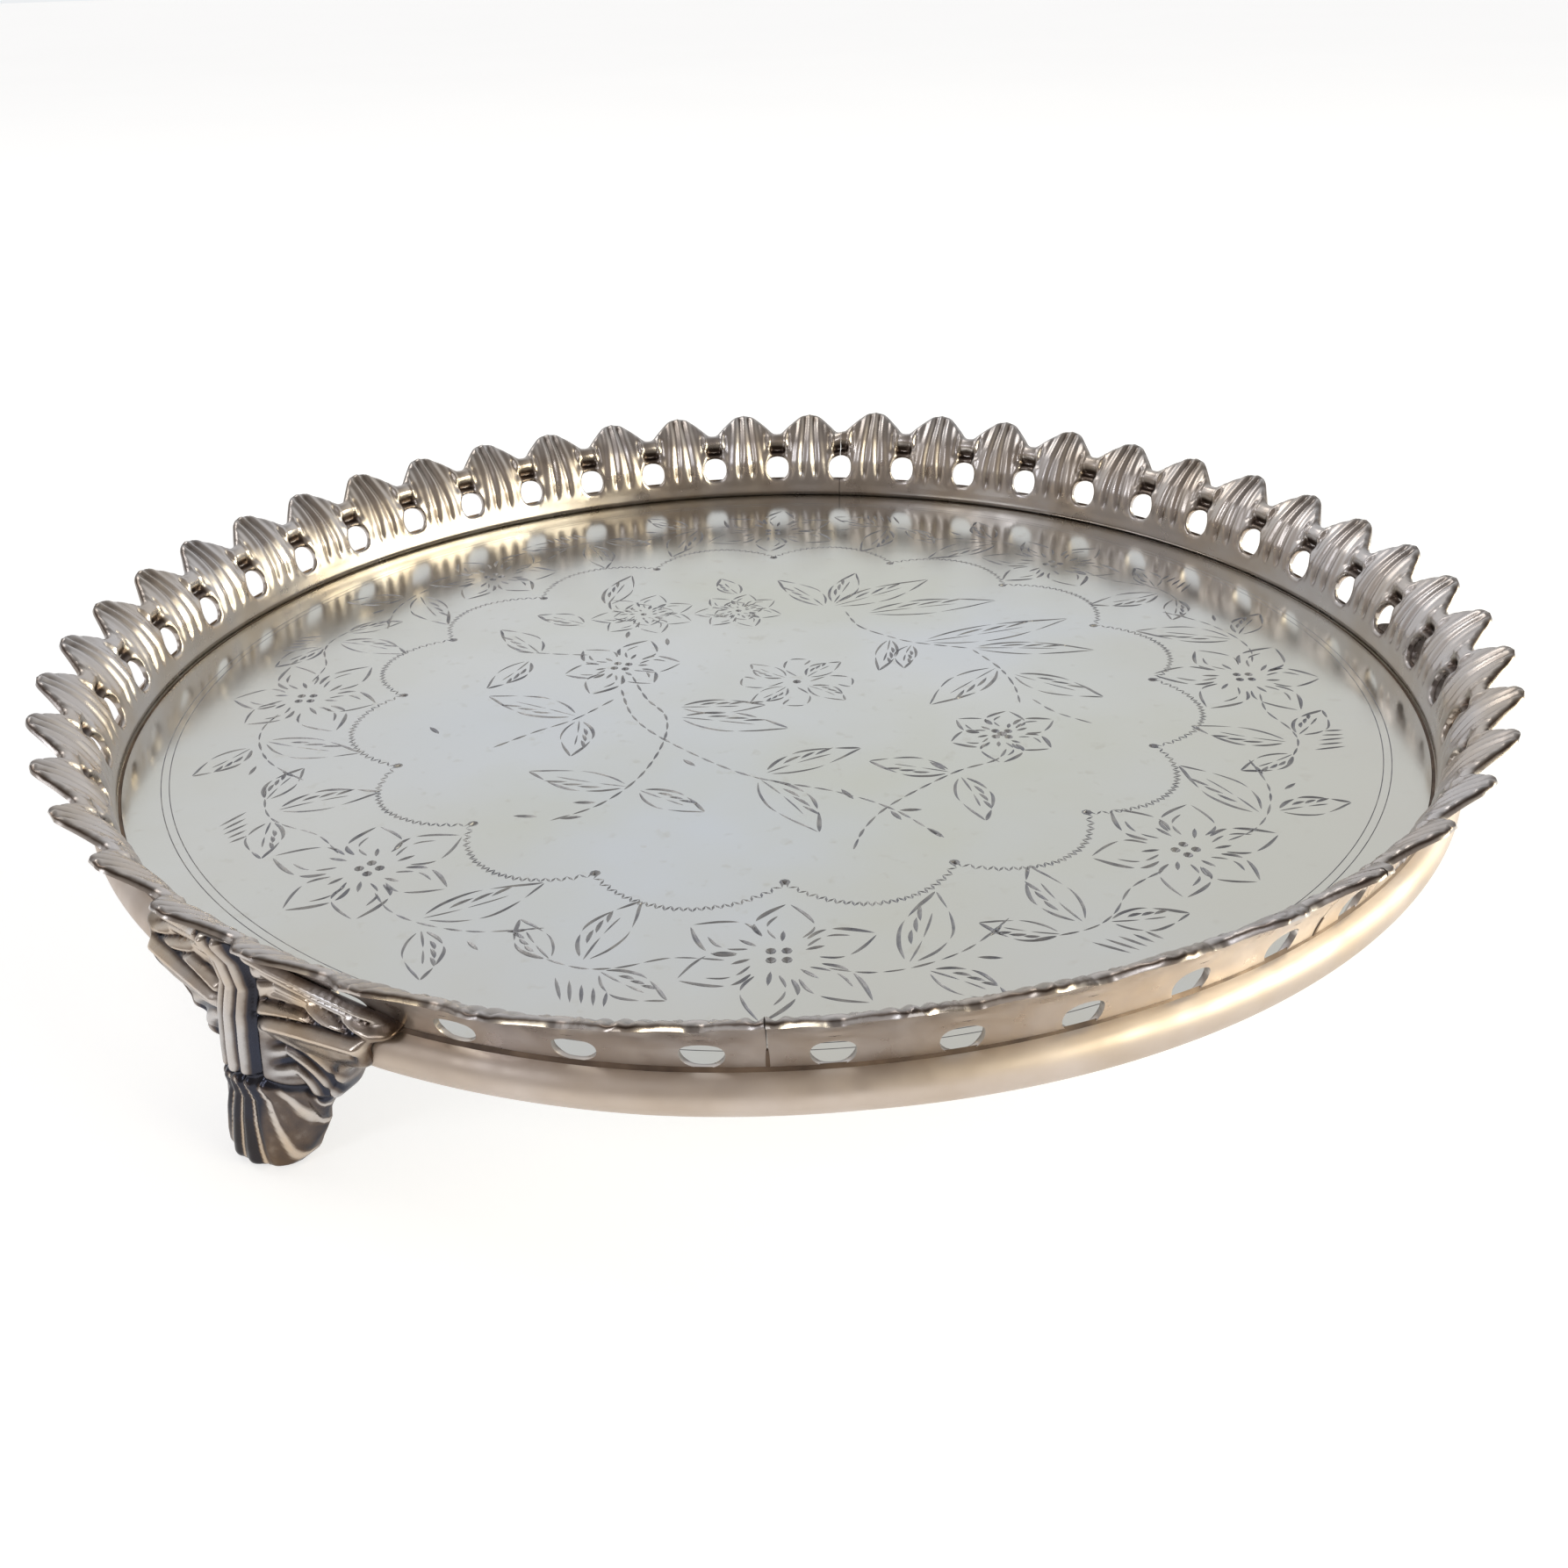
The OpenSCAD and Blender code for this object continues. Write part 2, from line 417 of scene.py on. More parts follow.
# the apron's pinkish-brown is partly tarnish and partly painted reflection: its colours are
# darkened to stand in for a dark brown surface below it that the scene doesn't have
APRON_METAL = worn_metal("apron_silver", (0.60, 0.525, 0.475), (0.54, 0.455, 0.385),
                         (0.22, 0.17, 0.13), -1.0, 0.0, (0.42, 0.60), 0.25)
CAST_METAL = worn_metal("cast_silver", (0.58, 0.56, 0.56), (0.58, 0.46, 0.34),
                        (0.075, 0.085, 0.12), -0.6, 0.75, (0.20, 0.36), 0.2)


# ---- plate with its engraving -----------------------------------------------------------

STROKE_TAPER = 0.7                      # how fast a stroke swells from its ends
STROKE_DEPTH = 0.22                     # depth of a stroke over its width
PATH_STEP = 0.35                        # distance between points along a stroke
CUT = 1                                 # material number of the engraved metal
SEAM = 2                                # material number of the seam on the plate
PLATE_SEGMENTS = 288                    # points round the plate


class Engraving:
    """Collects lens-shaped cuts: two sides and a sunk middle line."""

    def __init__(self):
        self.points, self.edges, self.faces = [], [], []
        self.depths = {}

    def cut(self, spine, width):
        """One tool stroke along a line of points, widest in the middle."""
        n = len(spine)
        left, right = [], []
        for i in range(1, n - 1):
            dx, dy = spine[i + 1][0] - spine[i - 1][0], spine[i + 1][1] - spine[i - 1][1]
            size = math.hypot(dx, dy) or 1.0
            half = 0.5 * width * math.sin(math.pi * i / (n - 1)) ** STROKE_TAPER
            left.append((spine[i][0] - dy / size * half, spine[i][1] + dx / size * half))
            right.append((spine[i][0] + dy / size * half, spine[i][1] - dx / size * half))
        start = len(self.points)
        ring = [spine[0]] + right + [spine[-1]] + left[::-1]
        self.points += ring
        self.faces.append(list(range(start, start + len(ring))))
        middle = len(self.points)
        self.points += spine[1:-1]
        for i in range(n - 2):
            swell = math.sin(math.pi * (i + 1) / (n - 1)) ** STROKE_TAPER
            self.depths[middle + i] = STROKE_DEPTH * width * swell
        chain = [start] + list(range(middle, middle + n - 2)) + [start + len(right) + 1]
        self.edges += list(zip(chain, chain[1:]))

    def dash(self, x, y, angle, length, width, bend=0.0):
        """A short stroke centred on x, y; bend is its sag."""
        turn = math.radians(angle + random.uniform(-3, 3))
        length *= random.uniform(0.9, 1.1)
        spine = []
        for i in range(5):
            f = i / 4 - 0.5
            a, b = f * length, bend * (1 - 4 * f * f)
            spine.append((x + a * math.cos(turn) - b * math.sin(turn),
                          y + a * math.sin(turn) + b * math.cos(turn)))
        self.cut(spine, width)

    def line(self, points, width, dash=4.2, gap=0.5):
        """A flowing line made of strokes that nearly touch."""
        path = resample(spline(points, 12), PATH_STEP, closed=False)
        length = sum(math.dist(a, b) for a, b in zip(path, path[1:]))
        count = max(1, round(length / (dash + gap)))
        per = len(path) / count
        for i in range(count):
            first, last = int(i * per), int((i + 1) * per - gap / PATH_STEP)
            part = path[first:last + 1:2]
            if len(part) >= 3:
                self.cut(part, width * random.uniform(0.85, 1.15))

    def dot(self, x, y, size):
        """A punched pit."""
        ring = [(x + 0.5 * size * math.cos(a), y + 0.5 * size * math.sin(a))
                for a in (math.radians(k * 45) for k in range(8))]
        start = len(self.points)
        self.points += ring + [(x, y)]
        self.faces.append(list(range(start, start + 8)))
        self.depths[start + 8] = 0.3 * size

    def leaf(self, base, tip, width, bow=0.0, bold=0.75):
        """A pointed leaf: two broken sides, a mid vein and hatching on one half."""
        dx, dy = tip[0] - base[0], tip[1] - base[1]
        size = math.hypot(dx, dy)
        angle = math.degrees(math.atan2(dy, dx))

        def at(f, side):
            c = bow * 4 * f * (1 - f) + side
            return (base[0] + f * dx - c * dy / size, base[1] + f * dy + c * dx / size)

        for side in (-1, 1):
            edge = [at(f, side * width * w) for f, w in
                    ((0.08, 0.12), (0.25, 0.38), (0.48, 0.5), (0.72, 0.34), (0.90, 0.12), (1, 0))]
            self.line(edge, bold * (0.8 if side < 0 else 1.1), dash=size * 0.36, gap=0.8)
        vein = [at(f, 0) for f in (0.05, 0.3, 0.55, 0.72)]
        self.line(vein, bold * 0.6, dash=size * 0.3, gap=0.6)
        for f in (0.36, 0.52, 0.68):
            x, y = at(f, 0.22 * width)
            self.dash(x, y, angle + 14, size * 0.2, bold * 1.15, 0.2)

    def petal(self, x, y, angle, length, width, bold=0.8):
        """A petal that points away from x, y: two sides, a fold and a short stroke."""
        turn = math.radians(angle)

        def at(a, b):
            return (x + a * math.cos(turn) - b * math.sin(turn),
                    y + a * math.sin(turn) + b * math.cos(turn))

        for side in (-1, 1):
            edge = [at(a * length, side * b * width) for a, b in
                    ((0.34, 0.34), (0.48, 0.49), (0.62, 0.50), (0.80, 0.32), (1.0, 0.0))]
            self.line(edge, bold * (0.85 if side < 0 else 1.15), dash=length * 0.34, gap=0.9)
        inner = [at(a * length, b * width) for a, b in
                 ((0.30, 0.10), (0.45, 0.26), (0.60, 0.27), (0.76, 0.12))]
        self.line(inner, bold * 0.7, dash=length * 0.2, gap=0.9)
        cx, cy = at(0.36 * length, random.uniform(-0.2, 0.0) * width)
        self.dash(cx, cy, angle, length * 0.2, bold * 1.1)

    def lily(self, x, y, turn, petals, length, width):
        """A flower of petals round four punched dots."""
        for k in range(petals):
            self.petal(x, y, turn + 360 * k / petals + random.uniform(-8, 8),
                       length * random.uniform(0.85, 1.12), width * random.uniform(0.85, 1.1))
        for k in range(4):
            a = math.radians(turn + 20 + 90 * k)
            self.dot(x + 1.9 * math.cos(a), y + 1.9 * math.sin(a), 1.9)

    def wriggle(self, start, end, sag):
        """Zigzag line cut by rocking the tool along an arc that bulges by sag."""
        (x0, y0), (x1, y1) = start, end
        dx, dy = x1 - x0, y1 - y0
        size = math.hypot(dx, dy)
        count = 44                      # strokes from start to end
        before = None
        for i in range(count + 1):
            f = i / count
            b = sag * (1 - (2 * f - 1) ** 2) ** 0.8
            swing = (0.8 if i % 2 else -0.8) * random.uniform(0.85, 1.15)
            slope = sag * 4 * (1 - 2 * f) / size
            nx, ny = -slope, 1.0
            norm = math.hypot(nx, ny)
            a, b = f * size + swing * nx / norm, b + swing * ny / norm
            here = (x0 + a * dx / size - b * dy / size, y0 + a * dy / size + b * dx / size)
            if before:
                middle = ((before[0] + here[0]) / 2, (before[1] + here[1]) / 2)
                self.cut([before, middle, here], 0.55)
            before = here


def turned(point, angle, radius=0.0):
    """A point of an outer-field pattern, set out at the front, turned round the plate."""
    a = math.radians(angle)
    x, y = point[0], point[1] + radius
    return (x * math.cos(a) - y * math.sin(a), x * math.sin(a) + y * math.cos(a))


def engrave_outer_field(e):
    """Eight lilies with leafy stems between the scallops and the border."""
    ring = -106.5
    for k in range(8):
        turn = 45 * k

        def at(x, y):
            return turned((x, y), turn, ring)

        x, y = at(0, 0)
        e.lily(x, y, turn + 25, 6, 18.5, 9.5)
        e.line([at(-9, -1), at(-18, 0), at(-27, -2.5), at(-34, -2), at(-43, 3)], 0.5, gap=0.3)
        e.line([at(8, -4), at(15, -5.5), at(23, -4), at(32, 1), at(40, 10)], 0.5, gap=0.3)
        e.leaf(at(-33, -1), at(-24, 18), 8, 1.0)
        e.leaf(at(-30, -3), at(-18, -12), 7, -0.5)
        e.leaf(at(21, -4), at(28, 19), 9, -1.0)
        e.leaf(at(24, -5), at(37, -14), 7, 0.5)
        e.leaf(at(-38, 0), at(-45, 13), 6, 0.6)
        for i in range(5):
            hx, hy = at(-36 + 2.0 * i, -8 - 0.8 * i)
            e.dash(hx, hy, turn - 78 - 3 * i, 6.5 - 0.6 * i, 0.7)
        hx, hy = at(37, 6)
        e.dash(hx, hy, turn + 55, 4, 1.0)
        hx, hy = at(35, -2)
        e.dash(hx, hy, turn - 5, 4, 0.9)


def engrave_wreath(e):
    """Sprays of flowers and leaves round the middle."""
    e.lily(48, -26, 20, 6, 13, 8)
    e.dot(48, -26, 2.2)
    e.lily(-36, 14, 12, 6, 15, 9)
    for x, y, size in ((-33, 46, 13), (-9, 47, 11)):
        for count, reach, wide in ((4, 0.6, 0.5), (7, 1.05, 0.55)):
            for k in range(count):
                e.petal(x, y, 360 * k / count + 30 * reach + random.uniform(-6, 6),
                        size * reach, size * wide, 0.55)
        e.dot(x, y, 1.6)
    stems = [
        [(-33, 8), (-29, -4), (-24, -14), (-24, -27), (-28, -42), (-35, -53), (-44, -59)],
        [(-35, 1), (-31, -14), (-22, -27), (-6, -42), (12, -50), (23, -58), (31, -69)],
        [(48, -33), (45, -38), (36, -43), (23, -55), (17, -64), (14, -73)],
        [(47, 19), (52, 8), (54, -2), (54, -11)],
        [(18, 45), (21, 35), (28, 28), (34, 24), (46, 20)],
        [(57, -9), (61, -16), (68, -22)],
        [(-60, -27), (-52, -20), (-44, -14), (-36, -4)],
        [(-62, 24), (-52, 22), (-44, 21)],
    ]
    for stem in stems:
        e.line(stem, 0.6, gap=0.35)
    leaves = [
        ((-43, -13), (-65, -1), 9), ((-43, -14), (-43, -32), 7), ((-22, -14), (3, -21), 9),
        ((-22, -9), (-2, -9), 7), ((-3, -42), (18, -31), 8), ((-4, -43), (8, -66), 9),
        ((36, -43), (19, -37), 8), ((37, -44), (40, -63), 7), ((-29, -46), (-51, -38), 8),
        ((-28, -47), (-14, -57), 7), ((52, 9), (34, -11), 9), ((54, 5), (73, -9), 9),
        ((34, 24), (73, 37), 9), ((22, 43), (57, 50), 9), ((14, 48), (41, 66), 9),
        ((13, 48), (1, 68), 8), ((15, 50), (22, 72), 7), ((-56, 22), (-68, 38), 8),
        ((-58, 19), (-66, 3), 7), ((28, 27), (24, 8), 5), ((33, 23), (30, 9), 5),
        ((46, 20), (76, 17), 7), ((-43, 52), (-38, 74), 7), ((-47, 40), (-60, 47), 7),
        ((-9, 58), (-14, 70), 6),
    ]
    for base, tip, width in leaves:
        e.leaf(base, tip, width, random.uniform(-1, 1))
    for x, y, angle in ((14, -51, -60), (23, -60, -65), (30, -67, -55), (-40, -58, 10),
                        (-49, -57, -5), (33, -40, -50), (-74, -18, -50), (-38, -52, 0),
                        (26, -58, 0), (-18, -36, -50), (-36, 33, 85), (-26, 28, 95)):
        e.dash(x, y, angle, 4.6, 1.15)


def engrave_centre(e):
    """A plain fleuron of four leaves and four scrolls where a cipher might go."""
    x, y = 5, 3
    for k in range(4):
        a = 45 + 90 * k
        reach = math.radians(a)
        e.leaf((x + 3 * math.cos(reach), y + 3 * math.sin(reach)),
               (x + 15 * math.cos(reach), y + 15 * math.sin(reach)), 6, 0.6, 0.6)
        side = math.radians(a + 45)
        curl = [(x + r * math.cos(side + t), y + r * math.sin(side + t))
                for r, t in ((3, 0.0), (8, 0.35), (12.5, 0.12), (12.5, -0.25), (9.5, -0.2))]
        e.line(curl, 0.55, gap=0.3)
    e.dot(x, y, 2.0)


def circle(radius, count):
    """Points of a circle about the origin."""
    return [(radius * math.cos(2 * math.pi * k / count), radius * math.sin(2 * math.pi * k / count))
            for k in range(count)]


def engraved_field(radius):
    """The plate's flat middle as points, triangles and material numbers."""
    e = Engraving()
    e.points = circle(radius, PLATE_SEGMENTS)
    e.faces = [list(range(PLATE_SEGMENTS))]
    cusps = []
    for k in range(16):
        a = math.radians(157.8 - 22.5 * k + random.uniform(-0.8, 0.8))
        r = 84.6 + random.uniform(-1.2, 1.2)
        cusps.append((r * math.cos(a), r * math.sin(a)))
    for start, end in zip(cusps, cusps[1:] + cusps[:1]):
        e.wriggle(start, end, 10.5)
    for x, y in cusps:
        e.dot(x, y, 2.1)
    engrave_outer_field(e)
    engrave_wreath(e)
    engrave_centre(e)
    found = delaunay_2d_cdt([Vector(p) for p in e.points], e.edges, e.faces,
                            TRIANGLES_INSIDE, 1e-5)
    points = []
    for place, sources in zip(found[0], found[3]):
        depth = max((e.depths.get(i, 0.0) for i in sources), default=0.0)
        points.append((place.x, place.y, PLATE_TOP - depth))
    marks = [CUT if any(i > 0 for i in owners) else 0 for owners in found[5]]
    return points, [tuple(f) for f in found[2]], marks


def build_plate():
    """The engraved middle, rings for border and seam, and the flat underside."""
    rim = PLATE_SEGMENTS
    field = SEAT_R - 12
    points, faces, marks = engraved_field(field)
    border = SEAT_R - 8
    under = PLATE_BOTTOM - PLATE_TOP
    # radius, height above the plate, and the material of the band that ends there
    section = [(border - 1.7, 0, 0), (border - 1.6, -0.06, CUT), (border - 1.5, 0, CUT),
               (border - 0.1, 0, 0), (border, -0.06, CUT), (border + 0.1, 0, CUT),
               (SEAT_R - 0.5, 0, 0), (SEAT_R - 0.4, -0.12, SEAM), (SEAT_R + 0.2, -0.12, SEAM),
               (PLATE_R, -0.12, 0), (PLATE_R, under, 0), (field * 0.5, under, 0)]
    edge = {}
    for i, (x, y, z) in enumerate(points):
        if abs(math.hypot(x, y) - field) < 0.01:
            edge[round(math.degrees(math.atan2(y, x)) * rim / 360) % rim] = i
    before = [edge[k] for k in range(rim)]
    for r, h, mark in section:
        ring = list(range(len(points), len(points) + rim))
        points += [(x, y, PLATE_TOP + h) for x, y in circle(r, rim)]
        for k in range(rim):
            faces.append((before[k], ring[k], ring[(k + 1) % rim], before[(k + 1) % rim]))
            marks.append(mark)
        before = ring
    points.append((0, 0, PLATE_BOTTOM))
    for k in range(rim):
        faces.append((before[k], len(points) - 1, before[(k + 1) % rim]))
        marks.append(0)
    make_piece("plate_engraved", points, faces, [PLATE_METAL, GROOVE_METAL, SEAM_METAL],
               "salver_plate", face_material=marks)


# ---- apron ------------------------------------------------------------------------------

APRON_SHELL = 1.1                       # thickness of the apron's metal
LIP = 76                                # degrees from the apron's middle up to its lip


def build_apron():
    """Half-round shell with a ledge inside; its lip ends in the dark outer seam."""
    section = []
    for k in range(25):
        a = math.radians(LIP - 2 * LIP * k / 24)
        section.append((APRON_X + APRON_R * math.cos(a), APRON_Z + APRON_R * math.sin(a)))
    ledge_low, ledge_high = apron_low.z - PLATE_TOP + 0.9, PLATE_BOTTOM - PLATE_TOP
    ledge = [(SEAT_R - 1.0, ledge_low), (SEAT_R - 1.2, ledge_low + 0.2),
             (SEAT_R - 1.2, ledge_high), (SEAT_R + 2.4, ledge_high)]
    ledge_first, ledge_end = len(section), len(section) + len(ledge)
    section += ledge
    inner = APRON_R - APRON_SHELL
    for k in range(9):
        a = math.radians(-35 + 100 * k / 8)
        section.append((APRON_X + inner * math.cos(a), APRON_Z + inner * math.sin(a)))
    # a dark strip of seam metal in the corner between the lip and the gallery wall
    seam_z = APRON_Z + APRON_R * math.sin(math.radians(LIP))
    wall = FLARE_X - math.sqrt((FLARE_R - WALL) ** 2 - seam_z ** 2)
    section += [(wall - 0.05, seam_z - 0.5), (wall + 0.05, seam_z + 0.75)]
    around = 360
    points, faces, marks = [], [], []
    count = len(section)
    for k in range(around):
        a = 2 * math.pi * k / around
        shift = along(math.degrees(a), APRON_SHIFT)
        for i, (r, h) in enumerate(section):
            # the ledge stays under the plate, and a raised apron keeps its lower edge
            upper = smooth(h, -3.0, 2.0) if shift > 0 else 1.0
            rides = 0.0 if ledge_first <= i < ledge_end else shift * upper
            points.append((r * math.cos(a), r * math.sin(a), PLATE_TOP + h + rides))
    for k in range(around):
        for i in range(count):
            j = (i + 1) % count
            n = (k + 1) % around
            faces.append((k * count + i, k * count + j, n * count + j, n * count + i))
            marks.append(1 if i >= count - 3 else 0)
    make_piece("apron_half_round", points, faces, [APRON_METAL, SEAM_METAL],
               "apron_moulding", face_material=marks,
               relief=[0.0] * len(points), sharp=40)


# ---- gallery ----------------------------------------------------------------------------

HALF = 9.75                             # half a leaf pitch along the wall
HOLE_AT = 8.4                           # distances up the wall's curve
HOLE_R = 3.5
SQUARENESS = 2.3                        # 2 is a circle; the piercings are a little squarer
TIP_AT = 26.2
STRIP_GAP = 0.035                       # degrees left open at each end of a strip
# free edge from the notch over a piercing up to the leaf tip: across, up the curve
LEAF_EDGE = [(HALF, 18.9), (9.0, 18.95), (8.2, 19.4), (7.3, 20.4), (6.3, 21.5), (5.2, 22.7),
             (4.1, 23.9), (3.0, 25.0), (1.7, 25.8), (0, TIP_AT)]


def half_leaf_outline():
    """Outline, piercing and free edge of half a leaf: across, up the wall's curve."""
    outline = [(0, 0), (HALF, 0)]
    for k in range(1, 16):
        a = math.radians(-90 - 180 * k / 16)
        c, d = math.cos(a), math.sin(a)
        reach = HOLE_R / (abs(c) ** SQUARENESS + abs(d) ** SQUARENESS) ** (1 / SQUARENESS)
        outline.append((HALF + reach * c, HOLE_AT + reach * d))
    outline.insert(2, (HALF, HOLE_AT - HOLE_R))
    outline.append((HALF, HOLE_AT + HOLE_R))
    free = spline(LEAF_EDGE, 4)
    return resample(outline + free, 0.5), outline[2:], free


def leaf_relief(u, s, free_gap, hole_gap):
    """Height of the stamped leaf above the plain wall, towards the plate."""
    half = along(s, [(0, 7.9), (12, 7.7), (17.5, 7.7), (21, 6.9), (24, 5.4), (26, 4.2)])
    dome = math.sqrt(max(0.0, 1 - (u / half) ** 2)) ** 0.8
    h = dome * along(s, [(3.2, 0), (6, 0.45), (10, 1.25), (16, 1.35), (20, 0.95), (24, 0.6),
                         (26, 0.5)])
    # flutes run up the leaf and draw together: distance from the middle below and above, depth
    flute = smooth(s, 4.6, 7.6) * (1 - 0.35 * smooth(s, 23.5, 25.5))
    for low, high, deep in ((2.1, 1.25, 0.8), (5.6, 3.9, 0.35)):
        middle = low + (high - low) * smooth(s, 6, 24)
        h -= deep * flute * bell(u - middle, along(s, [(5, 0.6), (12, 1.05), (22, 0.85)]))
    # a small lobe over each piercing, with a pit under it
    across = HALF - u
    lobe = math.sqrt(max(0.0, 1 - (across / 3.3) ** 2))
    h += 1.1 * smooth(s, 14.6, 16.2) * lobe * (1 - 0.4 * smooth(s, 17.5, 18.9))
    h -= 1.2 * bell(s - 13.9, 1.0) * math.exp(-(across / 2.6) ** 4)
    h -= 0.5 * bell(across - 3.5, 0.6) * smooth(s, 12.3, 14) * (1 - smooth(s, 18, 19))
    # rounded free edge, piercing and foot
    edge = min(free_gap / 0.9, 1.0)
    h = h * (0.35 + 0.65 * math.sqrt(1 - (1 - edge) ** 2)) - 0.45 * (1 - edge) ** 2
    h -= 0.35 * (1 - min(hole_gap / 0.8, 1.0)) ** 2
    return h - 0.7 * bell(s, 0.7)


def half_leaf():
    """Points, triangles and relief of the half leaf that the whole gallery repeats."""
    outline, hole, free = half_leaf_outline()
    places, triangles = fill_outline(outline, 0.36, 0.52)
    heights = [leaf_relief(u, s, distance_to((u, s), free), distance_to((u, s), hole))
               for u, s in places]
    return places, triangles, heights


def build_gallery(name, node, first, last, unit):
    """A strip from leaf number first to leaf number last; a half is a piercing."""
    places, triangles, heights = unit
    low = LEAF_ZERO + first * PITCH + STRIP_GAP
    high = LEAF_ZERO + last * PITCH - STRIP_GAP
    index, front, back, relief, faces = {}, [], [], [], []
    for half in range(round(2 * first), round(2 * last)):
        leaf = math.floor((half + 1) / 2)
        side = 1 if half == 2 * leaf else -1
        rng = random.Random(leaf % LEAVES)
        droop, lean = rng.uniform(0, 0.022), rng.uniform(-0.25, 0.25)
        ids = []
        for (u, s), h in zip(places, heights):
            key = (round(2 * (leaf + side * u / HALF / 2), 6), round(s, 4))
            if key not in index:
                index[key] = len(front)
                free = (s / TIP_AT) ** 2 * math.cos(0.5 * math.pi * u / HALF) ** 2
                angle = LEAF_ZERO + PITCH * (leaf + (side * u + lean * free) / HALF / 2)
                angle = math.radians(min(max(angle, low), high))
                bend = s * (1 - droop * free) / FLARE_R
                for sheet, offset in ((front, h), (back, 0.04 * h - WALL)):
                    r = min(FLARE_X - (FLARE_R + offset) * math.cos(bend), TIP_R - EDGE_GAP)
                    z = settled((FLARE_R + offset) * math.sin(bend), math.degrees(angle))
                    sheet.append((r * math.cos(angle), r * math.sin(angle), PLATE_TOP + z))
                relief.append(h + 0.8 * (1 - smooth(s, 3.5, 8)))
            ids.append(index[key])
        for a, b, c in triangles:
            faces.append((ids[a], ids[b], ids[c]) if side < 0 else (ids[a], ids[c], ids[b]))
    points, faces = close_sheets(front, back, faces)
    make_piece(name, points, faces, [GALLERY_METAL], node,
               relief=relief + [0.9] * len(back), sharp=62)


# ---- feet -------------------------------------------------------------------------------

# right half of the foot seen from outside: across, height above the plate
FOOT_EDGE = [(0, 18.9), (3, 18.3), (5.2, 16.0), (9, 13.8), (15, 11.2), (22, 9.2), (28.5, 7.0),
             (31.3, 5.4), (30.6, 4.0), (28.0, 3.0), (27.0, 1.6), (27.2, 0), (26.2, -2.2),
             (23.4, -3.6), (20.8, -5.4), (19.2, -8.2), (17.6, -11.4), (15.4, -13.8), (13.2, -15.2),
             (11.8, -17.2), (10.6, -20.5), (9.2, -24.5), (7.8, -27.2), (6.2, -28), (0, -28)]
# the back foot has only its stem on the gallery wall, between two piercings
BACK_EDGE = [(0, 18.9), (2.4, 18.2), (3.9, 15.8), (4.2, 12), (4.2, 4.6), (5.4, 3.0), (8, 2.2),
             (20, 2.0), (26.4, 1.4), (27.2, 0)] + FOOT_EDGE[12:]
# outer face of the leg in the middle plane: height above the plate, radius
LEG_FACE = [(-28, 150.6), (-27, 151.6), (-24, 151.4), (-19, 150.6), (-15, 149.6), (-12, 150.0),
            (-5, 149.4), (1, 148.6), (6, 147.2), (12, 148.0), (19, 151.0)]
LEG_BACK = [(-28, 142.8), (-24.5, 142.4), (-21, 141.0), (-18, 141.4), (-14, 139.8), (-9, 139.0),
            (-4.6, 139.6), (-4.2, 141.6), (-3.6, 142.6)]
WING_LOW = -3.3                         # under this height the wings leave the apron
PAD = -28.0                             # height of the pads
STEM_HALF = 3.9                         # half width of the stem, where the leaf wings start
CAST_ARC = 147                          # radius at which the foot's widths are true
UPPER_EDGE = [(3.9, 17.4), (5.2, 16.0), (9, 13.8), (15, 11.2), (22, 9.2), (28.5, 7.0), (31, 5)]


def wall_outside(z, proud):
    """Radius of the gallery's outer face, plus a thickness, at a height above the plate."""
    return FLARE_X - math.sqrt((FLARE_R - WALL - proud) ** 2 - z * z)


